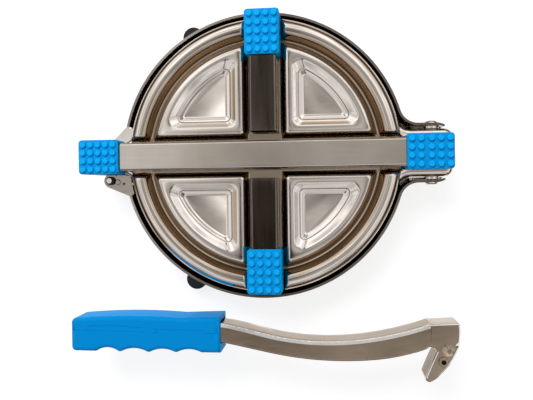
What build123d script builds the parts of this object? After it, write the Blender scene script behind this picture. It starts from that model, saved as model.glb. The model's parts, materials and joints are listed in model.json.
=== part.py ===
from build123d import *
import math
import os

# Puri press standing on its four rubber feet, with its loose lever handle lying beside it.
# Millimetres, +Z up. The origin is on the table, under the crossing of the tubes.
# -X is the front (finger tab), +X is the back (hinge), and the handle lies on the +Y side.

# Sheet and tube stock
shell_sheet = 1.0
lid_sheet = 1.0
tube_width = 18.0
tube_height = 12.0
tube_wall = 1.2
tube_corner = 1.6

# Rubber foot caps
stud_height = 1.5
stud_radius = 1.95
stud_pitch_across = 5.36
stud_pitch_along = 5.69
cap_floor = 2.0
cap_length = 29.2
front_cap_length = 27.1
front_stud_pitch = 5.07
cap_width = 22.6
cap_end_wall = 2.2
cap_roof = 1.0
front_cap_middle = -109.0
back_cap_middle = 105.2
left_cap_middle = 78.4
right_cap_middle = 75.8
back_cap_extra_gap = 0.7

# Heights above the table
tube_bottom = stud_height + cap_floor
tube_top = tube_bottom + tube_height
floor_level = 17.2
ring_level = 11.0
pad_level = 12.0
dish_step_level = 14.0
dish_floor_level = 15.5
tongue_level = 18.0
base_wall_top = 25.0
pressing_plane = 26.0
plate_gap = 0.5
lid_rim_level = 19.5
lid_top = 42.0

# Base plan: the stamped ring's axis lies a little in front of the tubes' crossing
plate_middle = -1.4
base_radius = 90.4
ring_inner_radius = 77.0
ring_shoulder_radius = 80.1
ring_crown_radius = 85.6
ring_shoulder_rise = 1.2
ring_edge_rise = 4.2
pad_arc_radius = 71.8
pad_foot_radius = 75.4
pad_edge = 14.7
pad_foot_edge = 11.0
pad_corner = 1.8
base_tongue_half = 15.6
base_tongue_end = 122.0
base_tongue_corner = 5.0
tongue_edge_round = 3.4
front_tongue_half = 10.6
front_tongue_end = 121.0
short_tube_start = 15.2
rib_half = tube_width / 2 - 2
long_rib_end = 78.0
short_rib_start = 16.2
short_rib_end = 60.0

# Two-step dish pressed into each pad: distance from the tubes, arc radius, corner
dish_mouth = (18.6, 67.6, 5.0)
dish_ledge = (22.5, 62.6, 3.2)
dish_floor = (25.6, 59.6, 1.2)

# Gap through the raised ring for a tube and its cap
notch_floor_half = 12.2
notch_mouth_half = 17.6
notch_start = 75.0
notch_end = 97.0

# Hinge
pin_x = 109.0
pin_z = 24.0
pin_radius = 3.0
pin_clearance = 0.07
pin_head_radius = 4.2
pin_head_height = 1.8
pin_fit = 0.03
cheek_radius = 6.5
washer_radius = 5.0
washer_gap = 0.6

# Lid plan: the lid hangs a little further forward than the base, by its ears
lid_middle = -2.4
lid_radius = 94.9
lid_ear_half = 18.9
lid_ear_end = 122.3
lid_ear_corner = 11.0
lid_ear_top = 33.0
lid_slot_half = 16.9
lid_roof_slot_half = 15.9
lid_slot_start = 95.4
lid_bead = 0.6
lid_bead_height = 1.4
lid_step_inner = 55.0
lid_step_outer = 80.0
lid_step_slope = 3.0
lid_step_depth = 2.5
core_ring_outer = 70.0
core_ring_inner = 65.0
lid_disc_radius = 91.5
lid_disc_sheet = 1.5
front_slot_half = 21.5
tab_tip_x = -112.0
tab_tip_half = 8.0
tab_root_half = 28.0

# Latch under the finger tab
latch_x = -106.3
latch_y = 15.5
latch_level = 17.3
latch_sheet = 1.2
latch_post_radius = 1.8
latch_collar_radius = 3.0

# Bumpers that carry the lid when it lies open
bumper_angle = 121.5
bumper_reach = 100.5
bumper_radius = 7.3
bumper_top = 47.9
bumper_bottom = 38.5
strap_width = 9.0
strap_sheet = 1.2
strap_start = 84.0
rivet_reach = 87.0

# Catch on the front tongue that the lever hooks into
catch_front = -120.5
catch_back = -113.5
catch_foot_back = -108.0
catch_inner = 9.8
catch_outer = 11.2
catch_foot_sheet = 1.1
catch_pin_x = -117.0
catch_pin_z = 42.0
catch_pin_radius = 2.0

# Lever handle, lying on its side
lever_near = 3.0
lever_far = 22.0
lever_sheet = 1.2
grip_near = 0.0
grip_far = 25.0
grip_left = -129.2
grip_right = -29.2
grip_edge_round = 2.8
lever_screw_x = 111.8
lever_screw_y = 132.2
lever_screw_radius = 2.2
lever_spacer_radius = 2.9
lever_edge_round = 1.2
lever_corner_round = 1.5
lever_root_x = -48.0
belly_opening_end = 99.0
dimple_x = 115.0
dimple_y = 124.8
dimple_ball = 9.0
dimple_depth = 0.9


def save(shape, name):
    export_step(shape, "parts/" + name + ".step")


def block(x0, x1, y0, y1, z0, z1):
    """Box between two corners."""
    middle = Pos((x0 + x1) / 2, (y0 + y1) / 2, (z0 + z1) / 2)
    return middle * Box(x1 - x0, y1 - y0, z1 - z0)


def upright(radius, z0, z1, x=0.0, y=0.0):
    """Cylinder standing between two heights."""
    return Pos(x, y, (z0 + z1) / 2) * Cylinder(radius, z1 - z0)


def crosswise(radius, y0, y1, x, z):
    """Cylinder lying along Y."""
    return Pos(x, (y0 + y1) / 2, z) * Rot(90, 0, 0) * Cylinder(radius, y1 - y0)


def prism(sketch, z0, z1):
    return extrude(Pos(0, 0, z0) * sketch, z1 - z0)


def span(side, inner, outer):
    """Low and high end of a stretch on one side of the middle plane."""
    return sorted((side * inner, side * outer))


def disc(radius, middle=plate_middle):
    """Round plan about the base's axis, or about the lid's."""
    return Pos(middle, 0) * Circle(radius)


# Plan outline of a round plate with a back tongue and an optional front tongue
def plate_outline(middle, radius, back_half, back_end, blend, corner, front_half=0.0, front_end=0.0):
    shape = disc(radius, middle) + Pos(back_end / 2, 0) * Rectangle(back_end, 2 * back_half)
    if front_half:
        shape += Pos(-front_end / 2, 0) * Rectangle(front_end, 2 * front_half)
    junctions = [v for v in shape.vertices() if abs(math.hypot(v.X - middle, v.Y) - radius) < 0.01]
    shape = fillet(junctions, blend)
    ends = [v for v in shape.vertices() if v.X > back_end - 0.01]
    return fillet(ends, corner)


# Quarter of the base's disc between two straight edges, drawn before it is turned into its place
def quadrant(turn, edge, radius, corner):
    angle, step = math.radians(turn), radius / math.sqrt(2)
    along, across = plate_middle * math.cos(angle), -plate_middle * math.sin(angle)
    long_end = (along + math.sqrt(radius**2 - (edge - across)**2), edge)
    cross_end = (edge, across + math.sqrt(radius**2 - (edge - along)**2))
    path = [
        Line((edge, edge), long_end),
        ThreePointArc(long_end, (along + step, across + step), cross_end),
        Line(cross_end, (edge, edge)),
    ]
    face = make_face(path)
    return fillet(face.vertices(), corner)


def four_quadrants(lower, upper):
    """Ruled solids between two (level, edge, radius, corner) quadrants, one in each corner of the cross."""
    solids = []
    for turn in (0, 90, 180, 270):
        faces = [Pos(0, 0, level) * quadrant(turn, edge, radius, corner)
                 for level, edge, radius, corner in (lower, upper)]
        solids.append(loft(faces, ruled=True).rotate(Axis.Z, turn))
    return solids


# Sideways shift of a sloping wall's far face, for a sheet of the given thickness
def wall_shift(run, rise, sheet):
    return sheet * (math.hypot(run, rise) - run) / rise


def ring_profile(inset):
    """Floor and raised ring, pushed inwards by the sheet where asked."""
    rise = floor_level - ring_level - ring_shoulder_rise
    shift = wall_shift(ring_shoulder_radius - ring_inner_radius, rise, inset)
    foot = (ring_inner_radius + shift, floor_level + inset)
    shoulder = (ring_shoulder_radius + shift, ring_level + ring_shoulder_rise + 0.75 * inset)
    crown = (ring_crown_radius, ring_level + inset)
    outer = (base_radius - inset, ring_level + ring_edge_rise)
    top = base_wall_top + 2 * inset
    path = [
        Line((0, floor_level + inset), foot),
        Line(foot, shoulder),
        ThreePointArc(shoulder, crown, outer),
        Line(outer, (outer[0], top)),
        Line((outer[0], top), (0, top)),
        Line((0, top), (0, floor_level + inset)),
    ]
    return Pos(plate_middle, 0, 0) * revolve(Plane.XZ * make_face(path), Axis.Z)


def notch(inset, turn):
    """Sloping-sided gap through the raised ring for a tube and its rubber cap."""
    slope_foot = ring_level - 1
    grow = wall_shift(notch_mouth_half - notch_floor_half, floor_level - slope_foot, inset)
    mouth = notch_mouth_half + grow
    floor_half = notch_floor_half + grow
    path = Polyline(
        (-mouth, slope_foot + inset), (mouth, slope_foot + inset),
        (floor_half, floor_level + inset), (-floor_half, floor_level + inset),
        close=True,
    )
    body = Pos(notch_start, 0, 0) * extrude(Plane.YZ * make_face(path), notch_end - notch_start)
    low = block(notch_start, notch_end, -mouth, mouth, 0, slope_foot + inset)
    return (body + low).rotate(Axis.Z, turn)


def dish(inset, lower_level, lower, upper_level, upper):
    """One step of the four pads' dishes, widened where the sheet's inner skin is asked for."""
    grow = 0.24 * inset
    return four_quadrants(
        (lower_level + inset, lower[0] - grow, lower[1] + grow, lower[2]),
        (upper_level + inset, upper[0] - grow, upper[1] + grow, upper[2]),
    )


def base_volume(inset):
    """Everything inside the base's outer skin, or inside its inner skin when inset by the sheet."""
    volume = ring_profile(inset)
    outline = plate_outline(
        plate_middle, base_radius - inset, base_tongue_half - inset, base_tongue_end - inset,
        10 + inset, base_tongue_corner - inset, front_tongue_half - inset, front_tongue_end - inset,
    )
    plate = prism(outline, tongue_level + inset, base_wall_top + 2 * inset)
    volume += fillet(plate.edges().group_by(Axis.Z)[0], tongue_edge_round - inset)
    straight_run, arc_run = pad_edge - pad_foot_edge, pad_foot_radius - pad_arc_radius
    rise = floor_level - pad_level
    straight_shift = wall_shift(straight_run, rise, inset)
    arc_shift = wall_shift(arc_run, rise, inset)
    pads = four_quadrants(
        (pad_level + inset, pad_edge + straight_shift, pad_arc_radius - arc_shift, pad_corner),
        (floor_level + inset, pad_foot_edge + straight_shift, pad_foot_radius - arc_shift, pad_corner),
    )
    upper_dish = dish(inset, pad_level, dish_mouth, dish_step_level, dish_ledge)
    lower_dish = dish(inset, dish_step_level, dish_ledge, dish_floor_level, dish_floor)
    for piece in pads:
        volume += piece
    for piece in upper_dish + lower_dish:
        volume -= piece
    for turn in (0, 90, 180, 270):
        volume -= notch(inset, turn)
    # Flat ribs that the tubes are welded to
    half = rib_half - inset
    low, high = tube_top + inset, floor_level + 2 * inset
    volume += block(inset - long_rib_end, long_rib_end - inset, -half, half, low, high)
    for side in (-1, 1):
        near, far = span(side, short_rib_start + inset, short_rib_end - inset)
        volume += block(-half, half, near, far, low, high)
    return volume


def base_trim():
    """Everything above the base's wall top, but for the two cheeks that hold the pin."""
    above = block(-130, 130, -100, 100, base_wall_top, 3 * base_wall_top)
    half_length, half_width = cheek_radius + 1, base_tongue_half + 1
    cheeks = block(pin_x - half_length, pin_x + half_length, -half_width, half_width,
                   base_wall_top - 1, pin_z + half_length)
    return above - cheeks


def base_shell():
    shell = base_volume(0.0) - base_volume(shell_sheet)
    for side in (-1, 1):
        inner, outer = span(side, base_tongue_half - shell_sheet, base_tongue_half)
        cheek = crosswise(cheek_radius, inner, outer, pin_x, pin_z)
        reach = block(pin_x - 10, pin_x + 10, -20, 20, 0, tongue_level + tongue_edge_round)
        shell += cheek - reach
    shell -= crosswise(pin_radius + pin_fit, -20, 20, pin_x, pin_z)
    return shell - block(-130, 130, -100, 100, pressing_plane, 60) - base_trim()


def base_press_disc():
    return prism(disc(base_radius), base_wall_top, pressing_plane)


def tube(length, z_axis_turn, x, y):
    outer = RectangleRounded(tube_width, tube_height, tube_corner)
    inner = RectangleRounded(tube_width - 2 * tube_wall, tube_height - 2 * tube_wall, tube_corner - 1)
    bar = extrude(Plane.YZ * (outer - inner), length / 2, both=True)
    return Pos(x, y, (tube_bottom + tube_top) / 2) * bar.rotate(Axis.Z, z_axis_turn)


def long_tube():
    front = front_cap_middle - front_cap_length / 2 + cap_end_wall
    back = back_cap_middle + cap_length / 2 - cap_end_wall
    return tube(back - front, 0, (front + back) / 2, 0)


def short_tube(side, cap_middle):
    far = cap_middle + cap_length / 2 - cap_end_wall
    return tube(far - short_tube_start, 90, 0, side * (far + short_tube_start) / 2)


def foot_cap(turn, middle, length=cap_length, pitch=stud_pitch_along, extra_gap=0.0):
    """Rubber cap with its closed end outwards; studs stand on the table."""
    outline = RectangleRounded(length, cap_width, 2.0)
    cap = prism(outline, stud_height, tube_top + cap_roof)
    cap = fillet(cap.edges().group_by(Axis.Z)[0], 0.8)
    half = tube_width / 2
    cap -= block(-length, length / 2 - cap_end_wall, -half, half, tube_bottom, tube_top)
    for column in range(5):
        along = (column - 2) * pitch + (extra_gap / 2 if column > 1 else -extra_gap / 2)
        for row in range(4):
            across = (row - 1.5) * stud_pitch_across
            cap += upright(stud_radius, 0, stud_height + 0.1, along, across)
    return (Pos(middle, 0, 0) * cap).rotate(Axis.Z, turn)


def hinge_pin():
    shoulder = lid_ear_half + 0.2
    pin = crosswise(pin_radius, -shoulder, shoulder, pin_x, pin_z)
    for side in (-1, 1):
        near, far = span(side, shoulder, shoulder + pin_head_height)
        head = crosswise(pin_head_radius, near, far, pin_x, pin_z)
        rim = head.edges().filter_by(GeomType.CIRCLE).sort_by(Axis.Y)[-1 if side > 0 else 0]
        pin += fillet(rim, pin_head_height - 0.2)
    return pin


def hinge_washers():
    rings = []
    for side in (-1, 1):
        near, far = span(side, base_tongue_half + 0.1, lid_ear_half - lid_sheet - washer_gap)
        ring = crosswise(washer_radius, near, far, pin_x, pin_z)
        rings.append(ring - crosswise(pin_radius + 2 * pin_fit, near - 1, far + 1, pin_x, pin_z))
    return Compound(rings)


def lid_volume(inset):
    outline = plate_outline(
        lid_middle, lid_radius - inset, lid_ear_half - inset, lid_ear_end - inset, 13 + inset,
        lid_ear_corner - inset)
    low = prism(outline, lid_rim_level - inset, lid_ear_top - inset)
    low = fillet(low.edges().group_by(Axis.Z)[-1], 3.5 - inset)
    drum = prism(disc(lid_radius - inset, lid_middle), lid_rim_level - inset, lid_top - inset)
    drum = fillet(drum.edges().group_by(Axis.Z)[-1], 7.0 - inset)
    # Round step pressed into the crown, between the rim and the raised middle
    grow = 0.4 * inset
    low_step = lid_top - lid_step_depth - inset
    high_step = lid_top + 2 * lid_step_depth
    profile = make_face(Polyline(
        (lid_step_inner + lid_step_slope - grow, low_step), (lid_step_outer + grow, low_step),
        (lid_step_outer + lid_step_slope + grow, high_step), (lid_step_inner - grow, high_step), close=True,
    ))
    return low + drum - Pos(lid_middle, 0, 0) * revolve(Plane.XZ * profile, Axis.Z)


def lid_shell():
    bead = plate_outline(
        lid_middle, lid_radius + lid_bead, lid_ear_half + lid_bead, lid_ear_end + lid_bead, 12,
        lid_ear_corner + lid_bead)
    shell = lid_volume(0.0) + prism(bead, lid_rim_level, lid_rim_level + lid_bead_height)
    shell -= lid_volume(lid_sheet)
    roof = lid_ear_top - 1.5 * lid_sheet
    shell -= block(lid_slot_start, lid_ear_end + 3, -lid_slot_half, lid_slot_half, 10, roof)
    shell -= block(lid_slot_start, lid_ear_end + 3, -lid_roof_slot_half, lid_roof_slot_half, roof - 1, lid_top + 5)
    tab_gap = pressing_plane + plate_gap + lid_disc_sheet + 0.1
    shell -= block(-102, -84, -front_slot_half, front_slot_half, 10, tab_gap)
    shell -= crosswise(pin_radius + pin_clearance, -25, 25, pin_x, pin_z)
    for side in (-1, 1):
        near, far = span(side, lid_ear_half + 0.01, lid_ear_half + 3)
        shell -= crosswise(pin_head_radius + 0.5, near, far, pin_x, pin_z)
    return shell


def lid_press_disc():
    """Round plate under the lid, drawn out at the front into the finger tab and the latch's ear."""
    low = pressing_plane + plate_gap
    shoulder = tab_tip_x + tab_root_half - tab_tip_half
    tab = make_face(Polyline(
        (tab_tip_x, -tab_tip_half), (shoulder, -tab_root_half), (-80, -tab_root_half),
        (-80, tab_root_half), (shoulder, tab_root_half), (tab_tip_x, tab_tip_half), close=True,
    ))
    passage = Pos(-90, 0) * Rectangle(60, 2 * front_slot_half - 1)
    tab -= disc(lid_radius + lid_bead + 1, lid_middle) - passage
    tab += Pos(latch_x, latch_y) * Circle(5.0)
    return prism(disc(lid_disc_radius, lid_middle) + tab, low, low + lid_disc_sheet)


def lid_core_ring():
    low = pressing_plane + plate_gap + lid_disc_sheet
    high = lid_top - lid_sheet - lid_step_depth
    return prism(disc(core_ring_outer, lid_middle) - disc(core_ring_inner, lid_middle), low, high)


def latch_post():
    top = pressing_plane + plate_gap
    post = upright(latch_post_radius, 13.4, top, latch_x, latch_y)
    collar = upright(latch_collar_radius, latch_level + latch_sheet + 0.2, top, latch_x, latch_y)
    return post + collar


def latch_washer():
    ring = upright(latch_collar_radius - 0.1, latch_level - 2.1, latch_level - 0.4, latch_x, latch_y)
    return ring - upright(latch_post_radius, latch_level - 3, latch_level, latch_x, latch_y)


def latch_plate():
    """Teardrop plate that swivels on the post; its long edge follows the base's rim."""
    shape = make_face(Polyline(
        (latch_x - 1.5, latch_y + 4.6), (-92.5, 26.4), (-87.6, 22.0), (-91, 12.5), (-101.5, 11.3), close=True,
    ))
    shape += Pos(latch_x, latch_y) * Circle(4.8)
    shape -= disc(base_radius + 1.6)
    shape -= Pos(latch_x, latch_y) * Circle(latch_post_radius + pin_clearance)
    shape -= Pos(-97.2, 17.6) * Circle(0.9)
    plate = prism(shape, latch_level, latch_level + latch_sheet)
    boss = upright(1.9, latch_level - 0.6, latch_level, -101.4, 16.4)
    return plate + fillet(boss.edges().group_by(Axis.Z)[0], 0.5)


def bumper_place():
    angle = math.radians(bumper_angle)
    return bumper_reach * math.cos(angle), bumper_reach * math.sin(angle)


def bumper_strap(side):
    """Steel strap on the lid's crown that the rubber bumper is moulded on."""
    half = strap_width / 2
    strap = block(strap_start, bumper_reach + 2, -half, half, lid_top, lid_top + strap_sheet)
    return strap.rotate(Axis.Z, side * bumper_angle)


def lid_bumper(side):
    x, y = bumper_place()
    body = upright(bumper_radius, bumper_bottom, bumper_top, x, side * y)
    body = fillet(body.edges().filter_by(GeomType.CIRCLE), 1.5)
    body -= prism(disc(lid_radius + 1, lid_middle), bumper_bottom - 1, lid_top)
    return body - bumper_strap(side)


def strap_rivets():
    rivets = []
    for side in (-1, 1):
        angle = math.radians(side * bumper_angle)
        head = upright(2.4, lid_top + strap_sheet, lid_top + strap_sheet + 1.0,
                       rivet_reach * math.cos(angle), rivet_reach * math.sin(angle))
        rivets.append(fillet(head.edges().group_by(Axis.Z)[-1], 0.7))
    return Compound(rivets)


def stop_peg():
    """Small peg on the lid's ear beside the base tongue."""
    return crosswise(1.7, base_tongue_half + 0.8, lid_ear_half - lid_sheet, 95.6, 22.5)


def lever_catch():
    """Two cheeks on the front tongue's walls, joined under the finger tab, with room between for the hook."""
    middle, half_length = (catch_front + catch_back) / 2, (catch_back - catch_front) / 2
    foot_top = base_wall_top + catch_foot_sheet
    bracket = block(catch_back + 2, catch_foot_back, -catch_outer, catch_outer, base_wall_top, foot_top)
    for side in (-1, 1):
        near, far = span(side, catch_inner, catch_outer)
        bracket += block(catch_front, catch_back, near, far, base_wall_top, catch_pin_z)
        bracket += block(catch_front, catch_foot_back, near, far, base_wall_top, foot_top)
        bracket += crosswise(half_length, near, far, middle, catch_pin_z)
    return bracket - crosswise(catch_pin_radius, -12, 12, middle, catch_pin_z)


def catch_pin():
    return crosswise(catch_pin_radius, -catch_outer - 0.6, catch_outer + 0.6, catch_pin_x, catch_pin_z)


# Lever, drawn as it lies: X along the bar, +Y the hook side
lever_back = [(lever_root_x, 108.8), (-28.2, 109.4), (5.5, 116.9), (40.0, 120.2), (73.7, 116.8), (104.0, 108.6)]
lever_belly = [(102.0, 124.5), (84.0, 129.8), (56.0, 132.9), (14.4, 130.5), (-28.4, 122.1), (lever_root_x, 119.6)]


def lever_side_face():
    edges = [
        Spline(*lever_back),
        Line(lever_back[-1], (122.2, 107.7)),
        ThreePointArc((122.2, 107.7), (122.5, 115.5), (121.2, 124.5)),
        ThreePointArc((121.2, 124.5), (117.2, 132.2), (110.8, 139.9)),
        ThreePointArc((110.8, 139.9), (107.6, 143.2), (104.3, 145.2)),
        ThreePointArc((104.3, 145.2), (101.7, 144.7), (101.0, 142.0)),
        ThreePointArc((101.0, 142.0), (104.2, 134.2), (108.0, 126.0)),
        ThreePointArc((108.0, 126.0), (106.6, 123.7), (102.0, 124.5)),
        Spline(*lever_belly),
        Line(lever_belly[-1], lever_back[0]),
    ]
    face = make_face(edges)
    corners = [v for v in face.vertices()
               if v.X > lever_root_x + 1 and math.dist((v.X, v.Y), lever_belly[0]) > 0.1]
    return fillet(corners, lever_corner_round)


def lever_hollow_face():
    """Inside of the channel: a sheet's thickness in from the back, nose and hook, open along the belly."""
    back = [(x, y + lever_sheet) for x, y in lever_back]
    end = belly_opening_end
    edges = [
        Spline(*back),
        Line(back[-1], (121.0, 109.0)),
        ThreePointArc((121.0, 109.0), (121.3, 115.5), (120.1, 124.0)),
        ThreePointArc((120.1, 124.0), (116.2, 131.4), (110.0, 139.0)),
        ThreePointArc((110.0, 139.0), (106.9, 142.2), (104.0, 143.9)),
        ThreePointArc((104.0, 143.9), (102.6, 143.6), (102.2, 142.2)),
        ThreePointArc((102.2, 142.2), (105.5, 134.7), (109.2, 126.2)),
        ThreePointArc((109.2, 126.2), (107.6, 122.7), (102.8, 123.1)),
        Line((102.8, 123.1), (end, 122.9)),
        Line((end, 122.9), (end, 150.0)),
        Line((end, 150.0), (lever_root_x - 2, 150.0)),
        Line((lever_root_x - 2, 150.0), (lever_root_x - 2, 111.0)),
        Line((lever_root_x - 2, 111.0), back[0]),
    ]
    return make_face(edges)


def lever_channel():
    """Pressed channel, open along the belly and closed round the nose and the hook."""
    bar = prism(lever_side_face(), lever_near, lever_far)
    ends = bar.edges().group_by(Axis.Z)
    bar = fillet([e for e in ends[0] + ends[-1] if e.center().X > lever_root_x + 1], lever_edge_round)
    bar -= prism(lever_hollow_face(), lever_near + lever_sheet, lever_far - lever_sheet)
    bar -= upright(lever_screw_radius, 0, 30, lever_screw_x, lever_screw_y)
    return bar - Pos(dimple_x, dimple_y, lever_near + dimple_depth - dimple_ball) * Sphere(dimple_ball)


def lever_spacer():
    ring = upright(lever_spacer_radius, lever_near + lever_sheet, lever_far - lever_sheet, lever_screw_x, lever_screw_y)
    return ring - upright(lever_screw_radius, 0, 30, lever_screw_x, lever_screw_y)


def lever_screw():
    shank = upright(lever_screw_radius - 0.05, lever_near, lever_far + 2.6, lever_screw_x, lever_screw_y)
    head = upright(3.0, lever_near - 1.6, lever_near, lever_screw_x, lever_screw_y)
    head = fillet(head.edges().group_by(Axis.Z)[0], 0.6)
    socket = prism(Pos(lever_screw_x, lever_screw_y) * RegularPolygon(1.7, 6), lever_near - 2, lever_near + 0.4)
    return shank + head - socket


def lever_nut():
    body = prism(Pos(lever_screw_x, lever_screw_y) * RegularPolygon(4.0, 6), lever_far, lever_far + 2.4)
    return body - upright(lever_screw_radius, 0, 30, lever_screw_x, lever_screw_y)


def lever_grip():
    """Moulded grip with four finger hollows along its lower edge and a pocket for the channel's root."""
    crests = [(-112.5, 128.2), (-96.6, 128.8), (-77.1, 128.8), (-58.7, 128.6), (-42.0, 128.2)]
    hollows = [(-105.5, 125.7), (-86.8, 126.0), (-67.6, 126.2), (-50.4, 126.2)]
    low_corner, high_corner, waist = (grip_left, 128.0), (grip_left, 106.6), (-56.0, 105.8)
    edges = [
        Line((grip_right, 128.2), crests[-1]),
        Line(crests[0], low_corner),
        Line(low_corner, high_corner),
        ThreePointArc(high_corner, (-92.0, 104.6), waist),
        Line(waist, (grip_right, 104.9)),
        Line((grip_right, 104.9), (grip_right, 128.2)),
    ]
    for left, middle, right in zip(crests[:-1], hollows, crests[1:]):
        edges.append(ThreePointArc(left, middle, right))
    face = make_face(edges)
    face = fillet([v for v in face.vertices() if v.X < grip_right - 1], 3.0)
    grip = prism(face, grip_near, grip_far)
    ends = grip.edges().group_by(Axis.Z)
    grip = fillet(ends[0] + ends[-1], grip_edge_round)
    return grip - block(lever_root_x - 0.5, grip_right + 10, 107.9, 123.0, lever_near, lever_far)


def build_all():
    base = {
        "base_shell": base_shell(),
        "base_press_disc": base_press_disc(),
        "long_tube": long_tube(),
        "short_tube_left": short_tube(-1, left_cap_middle),
        "short_tube_right": short_tube(1, right_cap_middle),
        "foot_cap_front": foot_cap(180, -front_cap_middle, front_cap_length, front_stud_pitch),
        "foot_cap_back": foot_cap(0, back_cap_middle, extra_gap=back_cap_extra_gap),
        "foot_cap_left": foot_cap(270, left_cap_middle),
        "foot_cap_right": foot_cap(90, right_cap_middle),
        "hinge_pin": hinge_pin(),
        "hinge_washers": hinge_washers(),
        "lever_catch": lever_catch(),
        "catch_pin": catch_pin(),
    }
    lid = {
        "lid_shell": lid_shell(),
        "lid_press_disc": lid_press_disc(),
        "lid_core_ring": lid_core_ring(),
        "latch_post": latch_post(),
        "latch_washer": latch_washer(),
        "latch_plate": latch_plate(),
        "bumper_strap_left": bumper_strap(-1),
        "bumper_strap_right": bumper_strap(1),
        "lid_bumper_left": lid_bumper(-1),
        "lid_bumper_right": lid_bumper(1),
        "strap_rivets": strap_rivets(),
        "stop_peg": stop_peg(),
    }
    lever = {
        "lever_channel": lever_channel(),
        "lever_grip": lever_grip(),
        "lever_spacer": lever_spacer(),
        "lever_screw": lever_screw(),
        "lever_nut": lever_nut(),
    }
    return {**base, **lid, **lever}


os.makedirs("parts", exist_ok=True)
for node_name, node_shape in build_all().items():
    save(node_shape, node_name)
    print(node_name, round(node_shape.volume), "mm3")
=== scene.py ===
import json
import math

import bmesh
import bpy
from mathutils import Matrix, Vector


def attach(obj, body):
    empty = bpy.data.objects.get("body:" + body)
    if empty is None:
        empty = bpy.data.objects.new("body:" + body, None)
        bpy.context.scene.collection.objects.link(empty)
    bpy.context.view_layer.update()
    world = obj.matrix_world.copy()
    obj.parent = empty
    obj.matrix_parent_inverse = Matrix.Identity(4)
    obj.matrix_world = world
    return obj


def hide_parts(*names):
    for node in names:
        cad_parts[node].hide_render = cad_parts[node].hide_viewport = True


# Puri press seen from below its table, as in the photograph: image right is +X, image down is +Y.
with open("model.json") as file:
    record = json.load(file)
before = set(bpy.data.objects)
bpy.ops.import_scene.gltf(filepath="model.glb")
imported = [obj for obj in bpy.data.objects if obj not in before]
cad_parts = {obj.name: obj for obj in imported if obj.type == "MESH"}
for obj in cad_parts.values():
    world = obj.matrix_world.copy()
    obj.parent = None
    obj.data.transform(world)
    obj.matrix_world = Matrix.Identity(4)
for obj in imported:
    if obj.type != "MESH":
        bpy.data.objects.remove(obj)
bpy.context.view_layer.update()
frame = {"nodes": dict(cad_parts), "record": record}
nodes = frame["nodes"]
print("frame loaded:", len(nodes), "CAD nodes")

mm = 0.001


def linearColor(hexText, alpha=1.0):
    channels = [int(hexText[i:i + 2], 16) / 255 for i in (1, 3, 5)]
    return [c / 12.92 if c <= 0.04045 else ((c + 0.055) / 1.055) ** 2.4 for c in channels] + [alpha]


def addNode(tree, kind, links=None, **settings):
    # settings name either a property of the node or one of its input sockets
    node = tree.nodes.new(kind)
    for name, value in settings.items():
        if hasattr(node, name):
            setattr(node, name, value)
        else:
            node.inputs[name.replace("_", " ")].default_value = value
    for name, source in (links or {}).items():
        tree.links.new(source, node.inputs[name])
    return node


def newMaterial(name):
    material = bpy.data.materials.new(name)
    material.use_nodes = True
    tree = material.node_tree
    tree.nodes.clear()
    return material, tree


def finishMaterial(tree, shader):
    output = tree.nodes.new("ShaderNodeOutputMaterial")
    tree.links.new(shader.outputs[0], output.inputs["Surface"])


def mixColors(tree, factor, first, second):
    mix = addNode(tree, "ShaderNodeMix", {"Factor": factor}, data_type="RGBA")
    mix.inputs[6].default_value = linearColor(first)
    mix.inputs[7].default_value = linearColor(second)
    return mix.outputs[2]


# Polished stainless sheet, pressed and buffed: mirror-like, with faint waves and a haze of buffing marks
def polishedSteel(name, look):
    material, tree = newMaterial(name)
    coords = addNode(tree, "ShaderNodeTexCoord")
    cloud = addNode(tree, "ShaderNodeTexNoise", {"Vector": coords.outputs["Object"]}, Scale=1 / look["wave"],
                    Detail=2.0)
    streakSpace = addNode(tree, "ShaderNodeMapping", {"Vector": coords.outputs["Object"]})
    streakSpace.inputs["Scale"].default_value = look["streakStretch"]
    streaks = addNode(tree, "ShaderNodeTexNoise", {"Vector": streakSpace.outputs["Vector"]}, Scale=1 / look["streak"],
                      Detail=4.0)
    color = mixColors(tree, cloud.outputs["Fac"], look["dark"], look["light"])
    # Painted shade: grooves are darkened brown where their own shadow and the dark they mirror fall
    shadeWeight = addNode(tree, "ShaderNodeAttribute", attribute_name="paintedGrooveShade")
    shaded = addNode(tree, "ShaderNodeMix", {"Factor": shadeWeight.outputs["Fac"], 6: color}, data_type="RGBA")
    shaded.inputs[7].default_value = linearColor(look["grooveShade"])
    rough = addNode(tree, "ShaderNodeMapRange", {"Value": streaks.outputs["Fac"]}, From_Min=0.3, From_Max=0.7,
                    To_Min=look["roughness"], To_Max=look["roughness"] + look["haze"])
    waves = addNode(tree, "ShaderNodeBump", {"Height": cloud.outputs["Fac"]}, Strength=look["waveBump"],
                    Distance=1 * mm)
    shader = addNode(tree, "ShaderNodeBsdfPrincipled", {
        "Base Color": shaded.outputs[2], "Roughness": rough.outputs["Result"], "Normal": waves.outputs["Normal"],
    }, Metallic=1.0)
    finishMaterial(tree, shader)
    return material


# Moulded rubber or plastic: satin, with a fine grain
def mouldedPolymer(name, look):
    material, tree = newMaterial(name)
    coords = addNode(tree, "ShaderNodeTexCoord")
    speck = addNode(tree, "ShaderNodeTexNoise", {"Vector": coords.outputs["Object"]}, Scale=1 / look["grain"],
                    Detail=2.0)
    color = mixColors(tree, speck.outputs["Fac"], look["dark"], look["light"])
    bump = addNode(tree, "ShaderNodeBump", {"Height": speck.outputs["Fac"]}, Strength=look["bump"],
                   Distance=0.1 * mm)
    shader = addNode(tree, "ShaderNodeBsdfPrincipled", {"Base Color": color, "Normal": bump.outputs["Normal"]},
                     Roughness=look["roughness"], Specular_IOR_Level=look["shine"])
    finishMaterial(tree, shader)
    return material
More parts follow.
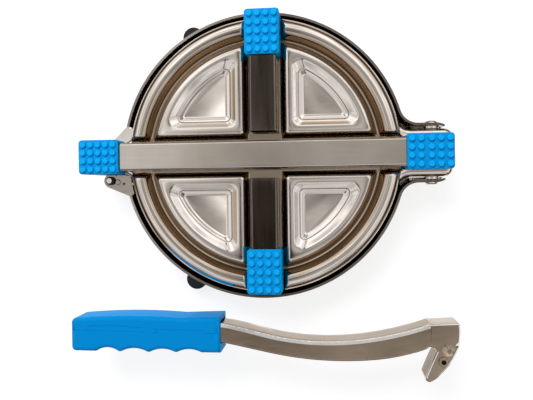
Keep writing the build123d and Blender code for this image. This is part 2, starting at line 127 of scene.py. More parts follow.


# Polished sheet of the base: light grey, with brown painted shade in its grooves
sheetLook = {
    "light": "#e6e0da", "dark": "#d6cec6", "roughness": 0.06, "haze": 0.09, "wave": 24 * mm, "waveBump": 0.05,
    "streak": 3 * mm, "streakStretch": (0.25, 1.0, 1.0), "grooveShade": "#9b866f",
}
# Brushed and buffed tube: cloudy along its length
tubeLook = {**sheetLook, "light": "#d8d2cb", "dark": "#b9b0a7", "roughness": 0.14, "haze": 0.08,
            "streakStretch": (0.06, 1.0, 1.0)}
# The short tubes are mirror bright: their colour is darkened as a painted reflection of the dark camera side
mirrorLook = {**sheetLook, "light": "#8a837b", "dark": "#6f6861", "haze": 0.06, "streakStretch": (1.0, 0.08, 1.0)}
# The lever's bar has a warmer, greyer polish
leverLook = {**sheetLook, "light": "#bcaa98", "dark": "#9c8a78", "roughness": 0.12}
# The lid's outside is polished darker than the base
lidLook = {**sheetLook, "light": "#a39b93", "dark": "#7f776f"}
# Turned pins and screws: small waves and a duller shine
pinLook = {**sheetLook, "wave": 6 * mm, "roughness": 0.14}
# Painted highlight on the bevel along the lever's edge: near-white steel for the brightest line of the steel
highlightLook = {**sheetLook, "light": "#ffffff", "dark": "#f2efec", "roughness": 0.12}
# Painted shade at the bottom of the screw's socket, which reads as a dark hexagon
socketShadeLook = {**sheetLook, "light": "#3a332d", "dark": "#2a2420", "roughness": 0.3}
sheetSteel = polishedSteel("polishedStainlessSheet", sheetLook)
tubeSteel = polishedSteel("buffedStainlessTube", tubeLook)
mirrorSteel = polishedSteel("mirrorStainlessTube", mirrorLook)
leverSteel = polishedSteel("warmPolishedChannel", leverLook)
highlightSteel = polishedSteel("paintedEdgeHighlight", highlightLook)
socketShadeSteel = polishedSteel("socketShadow", socketShadeLook)
lidSteel = polishedSteel("darkPolishedSheet", lidLook)
pinSteel = polishedSteel("turnedSteel", pinLook)
# Foot rubber, matte and evenly blue
capRubber = mouldedPolymer("blueFootRubber", {
    "light": "#0095d8", "dark": "#008ccc", "grain": 0.9 * mm, "bump": 0.1, "roughness": 0.45, "shine": 0.1})
# Painted light: the studs are coloured a little lighter than the cap, for their lit ends
litStudRubber = mouldedPolymer("studRubberPaintedLight", {
    "light": "#00a8f0", "dark": "#009fe6", "grain": 0.9 * mm, "bump": 0.1, "roughness": 0.42, "shine": 0.15})
# Grip plastic, a deeper blue with a satin skin
gripPlastic = mouldedPolymer("blueGripPlastic", {
    "light": "#0089d2", "dark": "#0082c9", "grain": 0.6 * mm, "bump": 0.12, "roughness": 0.45, "shine": 0.05})
# Bumper rubber, near black and a little shiny
blackRubber = mouldedPolymer("blackBumperRubber", {
    "light": "#1b1c1e", "dark": "#0e0f11", "grain": 0.8 * mm, "bump": 0.2, "roughness": 0.5, "shine": 0.4})

finishes = {
    lidSteel: ["lid_shell", "latch_plate"],
    leverSteel: ["lever_channel"],
    sheetSteel: ["base_shell", "base_press_disc", "lid_press_disc", "lid_core_ring",
                 "bumper_strap_left", "bumper_strap_right", "lever_catch"],
    tubeSteel: ["long_tube"],
    mirrorSteel: ["short_tube_left", "short_tube_right"],
    pinSteel: ["hinge_pin", "hinge_washers", "catch_pin", "latch_post", "strap_rivets", "stop_peg", "lever_spacer",
               "lever_screw", "lever_nut"],
    capRubber: ["foot_cap_front", "foot_cap_back", "foot_cap_left", "foot_cap_right"],
    gripPlastic: ["lever_grip"],
    blackRubber: ["lid_bumper_left", "lid_bumper_right", "latch_washer"],
}
for material, names in finishes.items():
    for name in names:
        nodes[name].data.materials.clear()
        nodes[name].data.materials.append(material)
print("materials made:", len(finishes))

bodyOf = {name: body for body, names in frame["record"]["behaviour"]["bodies"].items() for name in names}

# Points closer than this are one, in millimetres
mergeReach = 0.004
# Faces that meet at more than this many degrees keep a hard edge
hardAngle = 28


def linkPiece(name, mesh, replaced):
    piece = bpy.data.objects.new(name, mesh)
    bpy.context.scene.collection.objects.link(piece)
    body = bodyOf[replaced]
    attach(piece, body)
    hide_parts(replaced)


def shade(mesh, edgeAngle=hardAngle, flatEnds=True):
    mesh.shade_smooth()
    mesh.set_sharp_from_angle(angle=math.radians(edgeAngle))
    if flatEnds:
        # Level faces stay flat right up to the rounded edges round them
        for polygon in mesh.polygons:
            polygon.use_smooth = abs(polygon.normal.z) < 0.9995


# A merged copy of a CAD node's mesh as an open bmesh
def copyForm(nodeName):
    form = bmesh.new()
    form.from_mesh(nodes[nodeName].data)
    bmesh.ops.remove_doubles(form, verts=form.verts, dist=mergeReach * mm)
    return form


def meshFrom(form, name, *materials):
    mesh = bpy.data.meshes.new(name)
    form.to_mesh(mesh)
    form.free()
    for material in materials:
        mesh.materials.append(material)
    return mesh


# The CAD's own form with its round faces shaded round
def smoothCopy(nodeName):
    mesh = meshFrom(copyForm(nodeName), nodeName + "_skin", nodes[nodeName].data.materials[0])
    shade(mesh)
    linkPiece(nodeName + "_skin", mesh, nodeName)


# Stamped skin of the base: four dished pads and a raised ring with a gap for each tube, in millimetres
stamping = {
    "middle": -1.4,
    "floor": 17.2,
    # distance from the tubes' middle line, arc radius, corner radius, height
    "pad": [
        (10.6, 75.9, 1.0, 17.25), (11.4, 75.0, 1.1, 16.9), (12.2, 74.1, 1.2, 15.6), (13.2, 73.1, 1.5, 13.8),
        (13.9, 72.4, 1.8, 12.7), (14.5, 71.9, 2.1, 12.2), (15.3, 71.2, 2.4, 12.02), (18.2, 68.1, 5.2, 12.0),
        (18.7, 67.6, 5.4, 12.1), (19.4, 66.7, 5.2, 12.5), (20.8, 64.9, 4.5, 13.3), (22.1, 63.3, 3.7, 13.9),
        (22.4, 62.9, 3.4, 14.0), (22.55, 62.7, 3.2, 14.15), (22.8, 62.4, 3.0, 14.5), (23.2, 62.0, 2.8, 14.7),
        (24.9, 60.4, 1.9, 14.95), (25.4, 59.9, 1.6, 15.1), (25.7, 59.5, 1.4, 15.4), (26.1, 59.1, 1.3, 15.5),
    ],
    "grooveRadii": [(76.0, 17.2), (76.8, 17.1), (77.5, 16.4), (78.3, 15.0), (79.1, 13.6), (79.8, 12.6)],
    "ringArc": (84.14, 17.52, 6.68, 80.4, 90.1, 22),
    "ringWall": [(90.3, 15.4), (90.38, 17.0), (90.38, 20.0)],
    # How much painted brown shade each loop gets, from the groove outwards and up the ring's inner half; the rest
    # gets none
    "padShades": [0.7, 0.9, 1.0, 0.9, 0.5, 0.15],
    "ringShades": [0.7, 0.8, 1.0, 1.0, 1.0, 0.9, 0.8, 0.7, 0.65, 0.6, 0.5, 0.4, 0.3, 0.2, 0.1],
    # Gap through the ring: half widths at its floor and mouth, how steep its sides are, how softly they blend
    "notchFloorHalf": 11.5,
    "notchMouthHalf": 13.6,
    "notchSteep": 7.2,
    "notchTop": 0.3,
    "blend": 1.3,
    # Steps round the ring, along a pad's arc and round a pad's corner
    "turns": 480,
    "arcSteps": 40,
    "cornerSteps": 8,
    # The CAD skin's faces inside this radius and below this height make room
    "openRadius": 90.5,
    "openHeight": 17.6,
    "hardAngle": 40,
}


def quadrantLoop(edge, radius, corner, height, turn):
    # Rounded quarter outline: corner by the tubes' crossing, far corner, arc about the ring's axis, other far corner
    steps, arcSteps = stamping["cornerSteps"], stamping["arcSteps"]

    def roundCorner(cx, cy, start, end):
        turns = [start + (end - start) * i / steps for i in range(steps + 1)]
        return [(cx + corner * math.cos(a), cy + corner * math.sin(a)) for a in turns]

    cosT, sinT = math.cos(turn), math.sin(turn)
    along, across = stamping["middle"] * cosT, -stamping["middle"] * sinT
    inset, reach = edge + corner, radius - corner
    farX = along + math.sqrt(reach**2 - (inset - across) ** 2)
    farY = across + math.sqrt(reach**2 - (inset - along) ** 2)
    first, last = math.atan2(inset - across, farX - along), math.atan2(farY - across, inset - along)
    points = roundCorner(inset, inset, -math.pi, -math.pi / 2) + roundCorner(farX, inset, -math.pi / 2, first)
    points += [(along + radius * math.cos(a), across + radius * math.sin(a))
               for a in [first + (last - first) * i / arcSteps for i in range(1, arcSteps)]]
    points += roundCorner(inset, farY, last, math.pi)
    return [((x * cosT - y * sinT) * mm, (x * sinT + y * cosT) * mm, height * mm) for x, y in points]


def smoothMax(a, b, k):
    h = max(k - abs(a - b), 0.0) / k
    return max(a, b) + h * h * k / 4


# Height of the ring's section where a tube's gap cuts through it
def ringHeight(radial, angle, height):
    floor, floorHalf = stamping["floor"], stamping["notchFloorHalf"]
    if height > floor - stamping["notchTop"]:
        return height
    x, y = stamping["middle"] + radial * math.cos(angle), radial * math.sin(angle)
    side = min(abs(x), abs(y))
    slope = (side - floorHalf) / (stamping["notchMouthHalf"] - floorHalf)
    gap = min(floor, floor - stamping["notchSteep"] * slope)
    return min(smoothMax(height, gap, stamping["blend"]), floor)


def ringSection():
    middle, height, radius, start, end, steps = stamping["ringArc"]
    radii = [start + (end - start) * i / steps for i in range(steps + 1)]
    arc = [(r, height - math.sqrt(radius**2 - (r - middle) ** 2)) for r in radii]
    return stamping["grooveRadii"] + arc + stamping["ringWall"]


def addStampedBase():
    form = copyForm("base_shell")
    middle = stamping["middle"] * mm
    # The CAD skin's underside gives way to the stamped one
    openRadius, openHeight = stamping["openRadius"] * mm, stamping["openHeight"] * mm
    doomed = [f for f in form.faces if f.normal.z < 0.3
              and max(math.hypot(v.co.x - middle, v.co.y) for v in f.verts) < openRadius
              and max(v.co.z for v in f.verts) < openHeight]
    bmesh.ops.delete(form, geom=doomed, context="FACES")
    # Painted shade: how far each vertex is darkened towards the groove brown
    shadeWeight = form.verts.layers.float.new("paintedGrooveShade")

    def addPoint(place, amount):
        vertex = form.verts.new(place)
        vertex[shadeWeight] = amount
        return vertex

    def grooveShadeAt(tints, index):
        return tints[index] if index < len(tints) else 0.0

    for quarter in range(4):
        loops = []
        for index, (edge, radius, corner, height) in enumerate(stamping["pad"]):
            amount = grooveShadeAt(stamping["padShades"], index)
            outline = quadrantLoop(edge, radius, corner, height, quarter * math.pi / 2)
            loops.append([addPoint(p, amount) for p in outline])
        for low, high in zip(loops[:-1], loops[1:]):
            for i in range(len(low)):
                j = (i + 1) % len(low)
                form.faces.new((low[j], low[i], high[i], high[j]))
        form.faces.new(list(reversed(loops[-1])))
    rows = []
    section = ringSection()
    for step in range(stamping["turns"]):
        angle = 2 * math.pi * step / stamping["turns"]
        row = []
        for index, (r, z) in enumerate(section):
            height = ringHeight(r, angle, z)
            # Where the gap lifts the sheet, its side gets the full painted groove shade
            amount = grooveShadeAt(stamping["ringShades"], index) if height < z + 0.2 else 1.0
            row.append(addPoint((middle + r * mm * math.cos(angle), r * mm * math.sin(angle), height * mm), amount))
        rows.append(row)
    for i, row in enumerate(rows):
        following = rows[(i + 1) % len(rows)]
        for j in range(len(row) - 1):
            form.faces.new((row[j], following[j], following[j + 1], row[j + 1]))
    form.faces.new([row[0] for row in reversed(rows)])
    mesh = meshFrom(form, "stampedBase", sheetSteel)
    shade(mesh, stamping["hardAngle"], False)
    linkPiece("stampedBase", mesh, "base_shell")


addStampedBase()
print("stamped base made")

# Foot caps: rounded rubber box with a pocket and a field of studs, in millimetres
capLook = {
    "width": 22.6, "low": 1.5, "high": 16.5, "corner": 2.2, "edge": 0.7,
    "mouthRim": 1.7, "mouthDepth": 0.8, "studRadius": 1.95, "studBevel": 0.32, "studSunk": 0.2, "pitchAcross": 5.36,
    "merge": 0.002,
}
studColumns, studRows = 5, 4
# Least area of the open end, in square millimetres, and the angle from which a cap's edge stays hard
mouthArea, capHardAngle = 100, 30


def studTree():
    # One stud: a short cylinder with a bevelled end, put on every point and realised
    tree = bpy.data.node_groups.new("studField", "GeometryNodeTree")
    sockets = {}
    for name, kind in (("Geometry", "NodeSocketGeometry"), ("Stud Radius", "NodeSocketFloat"),
                       ("Stud Height", "NodeSocketFloat"), ("Bevel", "NodeSocketFloat"),
                       ("Material", "NodeSocketMaterial")):
        sockets[name] = tree.interface.new_socket(name, in_out="INPUT", socket_type=kind).identifier
    tree.interface.new_socket("Geometry", in_out="OUTPUT", socket_type="NodeSocketGeometry")
    start = tree.nodes.new("NodeGroupInput")
    straight = addNode(tree, "ShaderNodeMath", {0: start.outputs["Stud Height"], 1: start.outputs["Bevel"]},
                       operation="SUBTRACT")
    narrow = addNode(tree, "ShaderNodeMath", {0: start.outputs["Stud Radius"], 1: start.outputs["Bevel"]},
                     operation="SUBTRACT")
    barrel = addNode(tree, "GeometryNodeMeshCone", {"Radius Bottom": start.outputs["Stud Radius"],
                     "Radius Top": start.outputs["Stud Radius"], "Depth": straight.outputs[0]},
                     Vertices=28, fill_type="NONE")
    rim = addNode(tree, "GeometryNodeMeshCone", {"Radius Bottom": start.outputs["Stud Radius"],
                  "Radius Top": narrow.outputs[0], "Depth": start.outputs["Bevel"]}, Vertices=28)
    lift = addNode(tree, "ShaderNodeCombineXYZ", {"Z": straight.outputs[0]})
    raised = addNode(tree, "GeometryNodeTransform", {"Geometry": rim.outputs["Mesh"], "Translation": lift.outputs[0]})
    stud = addNode(tree, "GeometryNodeJoinGeometry")
    tree.links.new(raised.outputs[0], stud.inputs[0])
    tree.links.new(barrel.outputs["Mesh"], stud.inputs[0])
    down = addNode(tree, "GeometryNodeTransform", {"Geometry": stud.outputs[0]})
    down.inputs["Rotation"].default_value = (math.pi, 0, 0)
    spread = addNode(tree, "GeometryNodeInstanceOnPoints", {"Points": start.outputs["Geometry"],
                     "Instance": down.outputs[0]})
    real = addNode(tree, "GeometryNodeRealizeInstances", {"Geometry": spread.outputs[0]})
    painted = addNode(tree, "GeometryNodeSetMaterial", {"Geometry": real.outputs[0],
                      "Material": start.outputs["Material"]})
    finish = tree.nodes.new("NodeGroupOutput")
    tree.links.new(painted.outputs[0], finish.inputs[0])
    return tree, sockets


studGroup, studSockets = studTree()


# A stud on each of the given places, as one mesh
def studField(places, look):
    mesh = bpy.data.meshes.new("studPlaces")
    mesh.from_pydata(places, [], [])
    holder = bpy.data.objects.new("studPlaces", mesh)
    bpy.context.scene.collection.objects.link(holder)
    modifier = holder.modifiers.new("studs", "NODES")
    modifier.node_group = studGroup
    # The studs take the lighter rubber, a painted light on their ends
    for name, value in (("Stud Radius", look["studRadius"]), ("Stud Height", look["low"] + look["studSunk"]),
                        ("Bevel", look["studBevel"]), ("Material", litStudRubber)):
        modifier[studSockets[name]] = value
    holder.update_tag()
    bpy.context.view_layer.update()
    result = bpy.data.meshes.new_from_object(holder.evaluated_get(bpy.context.evaluated_depsgraph_get()))
    holder.modifiers.remove(modifier)
    bpy.data.objects.remove(holder)
    return result


# Box with rounded upright edges and rounded lower edges, in an empty form
def addBoxWalls(form, x0, x1, y0, y1, z0, z1, roundVertical, roundLow):
    bmesh.ops.create_cube(form, size=1.0, matrix=Matrix.Translation(((x0 + x1) / 2, (y0 + y1) / 2, (z0 + z1) / 2))
                          @ Matrix.Diagonal((x1 - x0, y1 - y0, z1 - z0, 1)))
    upright = [e for e in form.edges if abs(e.verts[0].co.z - e.verts[1].co.z) > 1e-6]
    bmesh.ops.bevel(form, geom=upright, offset=roundVertical, segments=6, profile=0.5, affect="EDGES")
    lowEdges = [e for e in form.edges if all(v.co.z < z0 + 1e-6 for v in e.verts)
                and len(e.link_faces) == 2 and any(abs(f.normal.z) < 0.5 for f in e.link_faces)]
    bmesh.ops.bevel(form, geom=lowEdges, offset=roundLow, segments=4, profile=0.5, affect="EDGES")


def addFootCap(nodeName, turn, middle, length, pitch, extraGap):
    look = {key: value * mm for key, value in capLook.items()}
    form = bmesh.new()
    half, wide = length * mm / 2, look["width"] / 2
    addBoxWalls(form, -half, half, -wide, wide, look["low"], look["high"], look["corner"], look["edge"])
    # The open end towards the crossing: a shallow pocket round the tube
    mouth = [f for f in form.faces if f.normal.x < -0.99 and f.calc_area() > mouthArea * mm * mm]
    bmesh.ops.inset_individual(form, faces=mouth, thickness=look["mouthRim"], depth=0.0)
    bmesh.ops.translate(form, verts=list({v for f in mouth for v in f.verts}), vec=(look["mouthDepth"], 0, 0))
    places = []
    for column in range(studColumns):
        along = (column - (studColumns - 1) / 2) * pitch * mm + (extraGap / 2 if column > 1 else -extraGap / 2) * mm
        for row in range(studRows):
            across = (row - (studRows - 1) / 2) * look["pitchAcross"]
            places.append((along, across, look["low"] + look["studSunk"]))
    studs = studField(places, look)
    boxFaces = set(form.faces)
    form.from_mesh(studs)
    bpy.data.meshes.remove(studs)
    for face in form.faces:
        face.material_index = 0 if face in boxFaces else 1
    bmesh.ops.remove_doubles(form, verts=form.verts, dist=look["merge"])
    placement = Matrix.Rotation(math.radians(turn), 4, "Z") @ Matrix.Translation((middle * mm, 0, 0))
    bmesh.ops.transform(form, matrix=placement, verts=form.verts)
    mesh = meshFrom(form, nodeName + "Studded", capRubber, litStudRubber)
    shade(mesh, capHardAngle, False)
    linkPiece(nodeName + "Studded", mesh, nodeName)


# Each cap's turn in degrees, then its middle, length, stud pitch and extra gap after the second column
caps = {
    "foot_cap_front": (180, 109.0, 27.1, 5.07, 0.0),
    "foot_cap_back": (0, 105.2, 29.2, 5.69, 0.7),
    "foot_cap_left": (270, 78.4, 29.2, 5.69, 0.0),
    "foot_cap_right": (90, 75.8, 29.2, 5.69, 0.0),
}
for nodeName, cap in caps.items():
    addFootCap(nodeName, *cap)
print("foot caps made")

# Where the lid's ears end, in millimetres
earTip = 117.2


# Ears of the lid end square instead of in the CAD's sharp tips
def addLidShell():
    form = copyForm("lid_shell")
    cut = bmesh.ops.bisect_plane(form, geom=form.verts[:] + form.edges[:] + form.faces[:],
                                 plane_co=(earTip * mm, 0, 0), plane_no=(1, 0, 0), clear_outer=True, dist=1e-6)
    rim = [e for e in cut["geom_cut"] if isinstance(e, bmesh.types.BMEdge)]
    bmesh.ops.edgenet_fill(form, edges=rim)
    mesh = meshFrom(form, "lidSkin", lidSteel)
    shade(mesh)
    linkPiece("lidSkin", mesh, "lid_shell")


addLidShell()

# Mould lines of the grip's near face: centre line in millimetres, half width, depth
gripLines = [
    ([(-117.2, 111.5), (-109.0, 111.0), (-95.5, 111.2), (-82.0, 112.2), (-70.6, 113.3)], 0.45, 0.3),
    ([(-120.7, 114.2), (-102.3, 114.7), (-85.4, 115.1), (-70.3, 115.3)], 0.5, 0.25),
    ([(-69.0, 113.0), (-55.4, 113.2), (-40.2, 113.7)], 0.25, 0.25),
    ([(-39.0, 115.3), (-31.1, 115.5)], 0.3, 0.3),
    ([(-130.0, 114.3), (-122.5, 114.2)], 0.25, 0.3),
]
# How far a cutter stands out of the grip, in millimetres
cutterProud = 0.1


def lineCutter(line, halfWidth, depth):
    # V-section groove with its point inside the grip
    form = bmesh.new()
    sections = []
    for x, y in line:
        sections.append([form.verts.new((x * mm, (y - halfWidth) * mm, -cutterProud * mm)),
                         form.verts.new((x * mm, (y + halfWidth) * mm, -cutterProud * mm)),
                         form.verts.new((x * mm, y * mm, depth * mm))])
    for first, second in zip(sections[:-1], sections[1:]):
        for i in range(3):
            j = (i + 1) % 3
            form.faces.new((first[i], first[j], second[j], second[i]))
    form.faces.new(list(reversed(sections[0])))
    form.faces.new(sections[-1])
    bmesh.ops.recalc_face_normals(form, faces=form.faces)
    cutter = bpy.data.objects.new("lineCutter", meshFrom(form, "lineCutter", gripPlastic))
    bpy.context.scene.collection.objects.link(cutter)
    return cutter


# Grip with its mould lines cut in
def addGrip():
    form = copyForm("lever_grip")
    blank = bpy.data.objects.new("gripBlank", meshFrom(form, "gripBlank", gripPlastic))
    bpy.context.scene.collection.objects.link(blank)
    cutters = [lineCutter(*line) for line in gripLines]
    for cutter in cutters:
        modifier = blank.modifiers.new("mouldLine", "BOOLEAN")
        modifier.operation = "DIFFERENCE"
        modifier.object = cutter
    bpy.context.view_layer.update()
    mesh = bpy.data.meshes.new_from_object(blank.evaluated_get(bpy.context.evaluated_depsgraph_get()))
    mesh.name = "gripSkin"
    for used in [blank] + cutters:
        bpy.data.objects.remove(used)
    shade(mesh)
    linkPiece("gripSkin", mesh, "lever_grip")


addGrip()

# Lever's near edge in millimetres: height of its face and radius of its edge, the band of vertices that move, the
# bevel's width inwards with its rise over that width and dropReach, the height up to which the painted highlight
# goes, and the x, y and reach of the two places that it leaves alone
leverEdge = {
    "near": 3.0, "round": 1.2, "band": 0.5, "widen": 1.3, "drop": 0.55, "dropReach": 0.8, "highlightHeight": 4.3,
    "dimple": (115.0, 124.8, 4.1), "screwHole": (111.8, 132.2, 2.6),
}
# Screw: middle, radius of the socket, and the heights between which the socket lies
leverScrew = {"place": (111.8, 132.2), "socket": 1.75, "low": 1.5, "high": 4.0}


# Lever bar: the rounded edge towards the camera is widened into a bevel that catches the light, painted white as a
# highlight
def addLeverBar():
    form = copyForm("lever_channel")
    near, radius, widen = leverEdge["near"] * mm, leverEdge["round"] * mm, leverEdge["widen"] * mm
    steep = leverEdge["drop"] * mm / (widen + leverEdge["dropReach"] * mm)

    def isKept(place):
        return any(math.hypot(place.x - x * mm, place.y - y * mm) < reach * mm
                   for x, y, reach in (leverEdge["dimple"], leverEdge["screwHole"]))

    form.normal_update()
    moves = []
    for vertex in form.verts:
        depth = vertex.co.z - near
        if not -1e-6 <= depth < leverEdge["band"] * mm or isKept(vertex.co):
            continue
        sides = [f.normal for f in vertex.link_faces if -0.995 < f.normal.z < -0.02]
        if not sides:
            continue
        out = sum(sides, Vector())
        out.z = 0
        out.normalize()
        # Only along the bar's back and round its nose
        if out.y > 0.35 and out.x < 0.8 or out.x < -0.6:
            continue
        share = 1 - max(depth, 0.0) / radius
        reach = radius * math.sqrt(max(0.0, 1 - share**2))
        if depth < 1e-5:
            moves.append((vertex, vertex.co - out * widen))
        else:
            moves.append((vertex, Vector((vertex.co.x, vertex.co.y, near + steep * (widen + reach)))))
    for vertex, place in moves:
        vertex.co = place
    form.normal_update()
    mesh = meshFrom(form, "leverSkin", leverSteel, highlightSteel)
    # Painted highlight: the near edge's tilted faces take the white highlight steel
    for polygon in mesh.polygons:
        isTilted = -0.999 < polygon.normal.z < -0.2 and (polygon.normal.y < 0 or polygon.normal.x > 0.15)
        isNear = polygon.center.z < leverEdge["highlightHeight"] * mm and not isKept(polygon.center)
        polygon.material_index = 1 if isTilted and isNear else 0
    shade(mesh)
    linkPiece("leverSkin", mesh, "lever_channel")


# Screw head with painted shade in its hexagon socket
def addLeverScrew():
    mesh = meshFrom(copyForm("lever_screw"), "screwSkin", leverSteel, socketShadeSteel)
    screwX, screwY = leverScrew["place"]
    for polygon in mesh.polygons:
        away = math.hypot(polygon.center.x - screwX * mm, polygon.center.y - screwY * mm)
        isDeep = leverScrew["low"] * mm < polygon.center.z < leverScrew["high"] * mm
        polygon.material_index = 1 if away < leverScrew["socket"] * mm and isDeep else 0
    shade(mesh)
    linkPiece("screwSkin", mesh, "lever_screw")


addLeverBar()
addLeverScrew()
print("lid skin, grip and lever made")

crafted = {"base_shell", "lid_shell", "lever_grip", "lever_channel", "lever_screw", *caps}
for name in list(nodes):
    if name not in crafted:
        smoothCopy(name)
print("smooth copies made")

# Camera under the press
cameraSpot = Vector((40.85, 24.32, -379.95)) * mm
cameraTarget = Vector((2.12, 29.51, 0.0)) * mm
cameraRoll = math.radians(0.74)
focalLength = 40.5  # on a 36 mm wide sensor


def addCamera():
    data = bpy.data.cameras.new("photoCamera")
    data.lens = focalLength
    data.sensor_width = 36
    camera = bpy.data.objects.new("photoCamera", data)
    bpy.context.scene.collection.objects.link(camera)
    forward = (cameraTarget - cameraSpot).normalized()
    imageUp = Vector((0, -1, 0))
    right = forward.cross(imageUp).normalized()
    up = right.cross(forward)
    turn = Matrix((right, up, -forward)).transposed().to_4x4()
    camera.matrix_world = Matrix.Translation(cameraSpot) @ turn @ Matrix.Rotation(-cameraRoll, 4, "Z")
    bpy.context.scene.camera = camera


addCamera()

# Soft lamps turned to the press; polished steel doesn't mirror them. Places and sizes in metres, power in watts
lamps = {
    "keyBelow": {"spot": (-0.22, -0.6, -0.8), "size": (0.7, 0.5), "power": 9},
    "keyAbove": {"spot": (-0.5, -0.7, 0.9), "size": (0.8, 0.6), "power": 12},
    "fillAbove": {"spot": (0.8, 0.5, 0.7), "size": (0.6, 0.6), "power": 5},
}


def addArea(name, look):
    data = bpy.data.lights.new(name, "AREA")
    data.shape = "RECTANGLE"
    data.size, data.size_y = look["size"]
    data.energy = look["power"]
    lamp = bpy.data.objects.new(name, data)
    lamp.location = look["spot"]
    lamp.rotation_euler = (-Vector(look["spot"])).to_track_quat("-Z", "Y").to_euler()
    bpy.context.scene.collection.objects.link(lamp)
    lamp.visible_glossy = False


for name, look in lamps.items():
    addArea(name, look)

# What polished steel mirrors, by the angle from straight down (towards the camera) to straight up
studioBands = [
    (0, "#b9b6b2"), (10, "#aca8a3"), (15, "#c2beb9"), (22, "#ffffff"), (50, "#ffffff"), (60, "#e8dfd4"),
    (67, "#b39c83"), (73, "#7a614b"), (80, "#42322a"), (90, "#241c16"), (97, "#7a7068"), (106, "#a8a19a"),
    (122, "#fff6ea"), (180, "#ffffff"),
]


# White for the camera, a soft even light for everything else, and the banded studio in mirrored rays
def paintWorld():
    world = bpy.data.worlds.new("studioWorld")
    bpy.context.scene.world = world
    world.use_nodes = True
    tree = world.node_tree
    tree.nodes.clear()
    coords = addNode(tree, "ShaderNodeTexCoord")
    axes = addNode(tree, "ShaderNodeSeparateXYZ", {"Vector": coords.outputs["Generated"]})
    down = addNode(tree, "ShaderNodeMath", {0: axes.outputs["Z"]}, operation="MULTIPLY")
    down.inputs[1].default_value = -1.0
    angle = addNode(tree, "ShaderNodeMath", {0: down.outputs[0]}, operation="ARCCOSINE")
    # Uneven walls and furniture of the room: the bands wander and carry darker patches
    patches = addNode(tree, "ShaderNodeTexNoise", {"Vector": coords.outputs["Generated"]}, Scale=2.6, Detail=3.0)
    wander = addNode(tree, "ShaderNodeMapRange", {"Value": patches.outputs["Fac"]}, To_Min=-0.3, To_Max=0.3)
    moved = addNode(tree, "ShaderNodeMath", {0: angle.outputs[0], 1: wander.outputs["Result"]}, operation="ADD")
    share = addNode(tree, "ShaderNodeMath", {0: moved.outputs[0]}, operation="DIVIDE")
    share.inputs[1].default_value = math.pi
    bands = addNode(tree, "ShaderNodeValToRGB", {"Fac": share.outputs[0]})
    ramp = bands.color_ramp
    while len(ramp.elements) > 1:
        ramp.elements.remove(ramp.elements[-1])
    for i, (degrees, color) in enumerate(studioBands):
        element = ramp.elements[0] if i == 0 else ramp.elements.new(degrees / 180)
        element.position = degrees / 180
        element.color = linearColor(color)
    # Brighter towards the top of the picture than towards its bottom
    side = addNode(tree, "ShaderNodeMapRange", {"Value": axes.outputs["Y"]}, From_Min=-0.5, From_Max=0.5,
                   To_Min=1.3, To_Max=0.72)
    above = addNode(tree, "ShaderNodeMapRange", {"Value": axes.outputs["Z"]}, From_Min=-0.1, From_Max=0.1)
    level = addNode(tree, "ShaderNodeMix", {"Factor": above.outputs["Result"], 2: side.outputs["Result"]})
    level.inputs[3].default_value = 1.0
    clouds = addNode(tree, "ShaderNodeTexNoise", {"Vector": coords.outputs["Generated"]}, Scale=5.5, Detail=4.0)
    cloudy = addNode(tree, "ShaderNodeMapRange", {"Value": clouds.outputs["Fac"]}, From_Min=0.35, From_Max=0.65,
                     To_Min=0.5, To_Max=1.35)
    power = addNode(tree, "ShaderNodeMath", {0: level.outputs[0], 1: cloudy.outputs["Result"]}, operation="MULTIPLY")
    mirrored = addNode(tree, "ShaderNodeBackground", {"Color": bands.outputs["Color"], "Strength": power.outputs[0]})
    path = addNode(tree, "ShaderNodeLightPath")
    plain = addNode(tree, "ShaderNodeMapRange", {"Value": path.outputs["Is Camera Ray"]}, To_Min=0.5, To_Max=1.0)
    flat = addNode(tree, "ShaderNodeBackground", {"Strength": plain.outputs["Result"]})
    flat.inputs["Color"].default_value = (1, 1, 1, 1)
    both = addNode(tree, "ShaderNodeMixShader", {0: path.outputs["Is Glossy Ray"], 1: flat.outputs[0],
                   2: mirrored.outputs[0]})
    output = tree.nodes.new("ShaderNodeOutputWorld")
    tree.links.new(both.outputs[0], output.inputs["Surface"])


paintWorld()


# Level plane of the stage, in metres
def addPlane(name, x0, x1, y0, y1, height, material):
    mesh = bpy.data.meshes.new(name)
    corners = [(x0, y0, height), (x1, y0, height), (x1, y1, height), (x0, y1, height)]
    mesh.from_pydata(corners, [], [range(4)])
    mesh.materials.append(material)
    plane = bpy.data.objects.new(name, mesh)
    bpy.context.scene.collection.objects.link(plane)


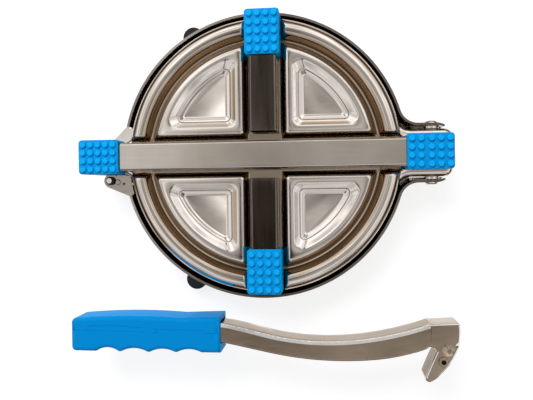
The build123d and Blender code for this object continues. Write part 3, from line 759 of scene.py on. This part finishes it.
# Paper that only the camera sees, and only from one side; every other ray passes through it
def paperMaterial(name, color, seenFromBelow, glow):
    material, tree = newMaterial(name)
    path = addNode(tree, "ShaderNodeLightPath")
    side = addNode(tree, "ShaderNodeNewGeometry")
    facing = side.outputs["Backfacing"]
    if not seenFromBelow:
        flip = addNode(tree, "ShaderNodeMath", {1: facing}, operation="SUBTRACT")
        flip.inputs[0].default_value = 1.0
        facing = flip.outputs[0]
    shown = addNode(tree, "ShaderNodeMath", {0: path.outputs["Is Camera Ray"], 1: facing}, operation="MULTIPLY")
    clear = addNode(tree, "ShaderNodeBsdfTransparent")
    paper = addNode(tree, "ShaderNodeBsdfDiffuse", Color=linearColor(color))
    light = addNode(tree, "ShaderNodeEmission", Strength=glow)
    light.inputs["Color"].default_value = (1, 1, 1, 1)
    lit = addNode(tree, "ShaderNodeAddShader", {0: paper.outputs[0], 1: light.outputs[0]})
    mix = addNode(tree, "ShaderNodeMixShader", {0: shown.outputs[0], 1: clear.outputs[0], 2: lit.outputs[0]})
    finishMaterial(tree, mix)
    return material


# Streaked dark card beside the camera that only mirrored rays meet
def darkCardMaterial(name, dark, light):
    material, tree = newMaterial(name)
    coords = addNode(tree, "ShaderNodeTexCoord")
    stretched = addNode(tree, "ShaderNodeMapping", {"Vector": coords.outputs["Object"]})
    stretched.inputs["Scale"].default_value = (1.0, 0.12, 1.0)
    streaks = addNode(tree, "ShaderNodeTexNoise", {"Vector": stretched.outputs["Vector"]}, Scale=90.0, Detail=3.0)
    sharper = addNode(tree, "ShaderNodeMapRange", {"Value": streaks.outputs["Fac"]}, From_Min=0.38, From_Max=0.68)
    color = mixColors(tree, sharper.outputs["Result"], dark, light)
    path = addNode(tree, "ShaderNodeLightPath")
    clear = addNode(tree, "ShaderNodeBsdfTransparent")
    card = addNode(tree, "ShaderNodeEmission", {"Color": color}, Strength=1.0)
    mix = addNode(tree, "ShaderNodeMixShader", {0: path.outputs["Is Glossy Ray"], 1: clear.outputs[0],
                  2: card.outputs[0]})
    finishMaterial(tree, mix)
    return material


paperHalf = 2.0
tableDepth, paperHeight = -0.2 * mm, 50 * mm
cardLeft, cardRight, cardHeight = -0.064, -0.018, -0.4
paleTable = paperMaterial("paleTable", "#f4f4f2", False, 0.0)
backPaper = paperMaterial("backPaper", "#9c9c9c", True, 0.78)
greyCard = darkCardMaterial("greyCard", "#55504c", "#a39b94")
darkCard = darkCardMaterial("darkCard", "#262322", "#6a5e55")
addPlane("tableTop", -paperHalf, paperHalf, -paperHalf, paperHalf, tableDepth, paleTable)
addPlane("backPaper", -paperHalf, paperHalf, -paperHalf, paperHalf, paperHeight, backPaper)
addPlane("boomUpper", cardLeft, cardRight, -0.215, -0.055, cardHeight, greyCard)
addPlane("boomLower", cardLeft, cardRight, 0.006, 0.165, cardHeight, darkCard)

bpy.context.scene.view_settings.view_transform = "Standard"
print("camera, lights and stage set")
